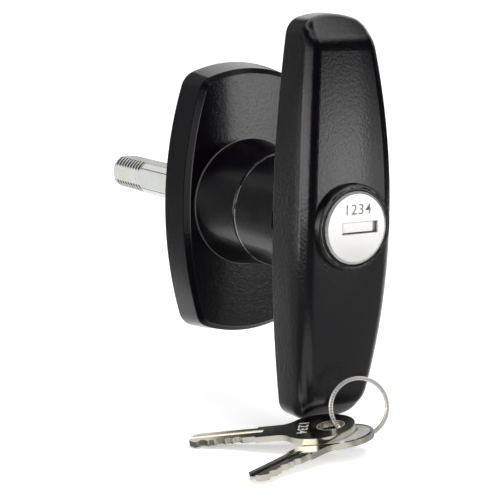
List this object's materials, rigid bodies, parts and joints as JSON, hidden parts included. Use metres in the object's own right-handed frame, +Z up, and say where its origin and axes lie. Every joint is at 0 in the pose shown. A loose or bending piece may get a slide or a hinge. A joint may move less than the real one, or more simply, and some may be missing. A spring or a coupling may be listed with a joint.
{
  "type": "truck cap t-handle lock",
  "caption": "Locking T-handle for a truck cap door: black cast grip on a flared base, keyed lock in the grip, square spindle behind, loose keys on a ring.",
  "frame": {"origin": "centre of the base's mounting plane, on the spindle axis", "axes": "+Z up along the grip, +Y along the spindle into the door, lock face towards -Y"},
  "size_m": [0.0704, 0.1615, 0.1301],
  "materials": {
    "black_coat": "gloss black powder coat, fine orange peel",
    "bezel_black": "black enamelled lock body with a worn bright rim",
    "face_steel": "bright stainless, lightly satin",
    "zinc": "bare zinc casting",
    "zinc_plate": "bright zinc plate with a faint yellow sheen",
    "spring_steel": "oiled spring steel",
    "brass": "stamped brass",
    "nickel": "bright nickel plate",
    "gasket_rubber": "matt black rubber"
  },
  "bodies": {
    "base": {"base_plate": "black_coat", "base_gasket": "gasket_rubber"},
    "handle": {"handle": "black_coat", "lock_housing": "bezel_black", "hub_seal": "gasket_rubber", "disc_spring": "spring_steel", "stop_washer": "zinc_plate", "retaining_ring": "spring_steel", "spindle": "zinc_plate", "cross_pin": "spring_steel"},
    "plug": {"lock_plug": "zinc", "plug_face_cap": "face_steel", "shutter_pin": "spring_steel", "shutter_spring": "spring_steel", "wafer_springs": "spring_steel", "plug_clip": "spring_steel", "plug_tail": "zinc"},
    "bolt": {"lock_bolt": "zinc"},
    "shutter": {"dust_shutter": "face_steel"},
    "wafer_1": {"wafer_1": "brass"},
    "wafer_2": {"wafer_2": "brass"},
    "wafer_3": {"wafer_3": "brass"},
    "wafer_4": {"wafer_4": "brass"},
    "wafer_5": {"wafer_5": "brass"},
    "ring": {"key_ring": "nickel"},
    "key_a": {"key_a": "nickel"},
    "key_b": {"key_b": "nickel"}
  },
  "joints": [
    {"name": "handle_turn", "type": "hinge", "parent": "base", "child": "handle", "pos_m": [0, 0, 0], "axis": [0, 1, 0], "range_deg": [0, 90]},
    {"name": "plug_turn", "type": "hinge", "parent": "handle", "child": "plug", "pos_m": [0, -0.06, 0], "axis": [0, 1, 0], "range_deg": [0, 90]},
    {"name": "bolt_slide", "type": "slide", "parent": "handle", "child": "bolt", "axis": [-1, 0, 0], "range_m": [0, 0.00311]},
    {"name": "shutter_swing", "type": "hinge", "parent": "plug", "child": "shutter", "pos_m": [0.0013, -0.0691, 0.00245], "axis": [1, 0, 0], "range_deg": [0, 75], "stiffness_Nm_per_rad": 0.0005},
    {"name": "wafer_1_slide", "type": "slide", "parent": "plug", "child": "wafer_1", "axis": [1, 0, 0], "range_m": [0, 0.0009], "stiffness_N_per_m": 150, "springref_m": 0.0009},
    {"name": "wafer_2_slide", "type": "slide", "parent": "plug", "child": "wafer_2", "axis": [1, 0, 0], "range_m": [0, 0.0009], "stiffness_N_per_m": 150, "springref_m": 0.0009},
    {"name": "wafer_3_slide", "type": "slide", "parent": "plug", "child": "wafer_3", "axis": [1, 0, 0], "range_m": [0, 0.0009], "stiffness_N_per_m": 150, "springref_m": 0.0009},
    {"name": "wafer_4_slide", "type": "slide", "parent": "plug", "child": "wafer_4", "axis": [1, 0, 0], "range_m": [0, 0.0009], "stiffness_N_per_m": 150, "springref_m": 0.0009},
    {"name": "wafer_5_slide", "type": "slide", "parent": "plug", "child": "wafer_5", "axis": [1, 0, 0], "range_m": [0, 0.0009], "stiffness_N_per_m": 150, "springref_m": 0.0009},
    {"name": "ring_draw", "type": "slide", "parent": "base", "child": "ring", "axis": [-0.5388, -0.8425, 0], "range_m": [0, 0.05]},
    {"name": "key_a_turn", "type": "hinge", "parent": "ring", "child": "key_a", "pos_m": [-0.0055, -0.07055, -0.05975], "axis": [-0.1628, 0.0383, 0.9859], "range_deg": [0, 9]},
    {"name": "key_b_turn", "type": "hinge", "parent": "ring", "child": "key_b", "pos_m": [-0.00316, -0.07214, -0.06216], "axis": [-0.1298, 0.1067, 0.9858], "range_deg": [-9, 4]}
  ],
  "couplings": [
    {"joint": "bolt_slide", "follows": "plug_turn", "m_per_rad": 0.0019807}
  ]
}
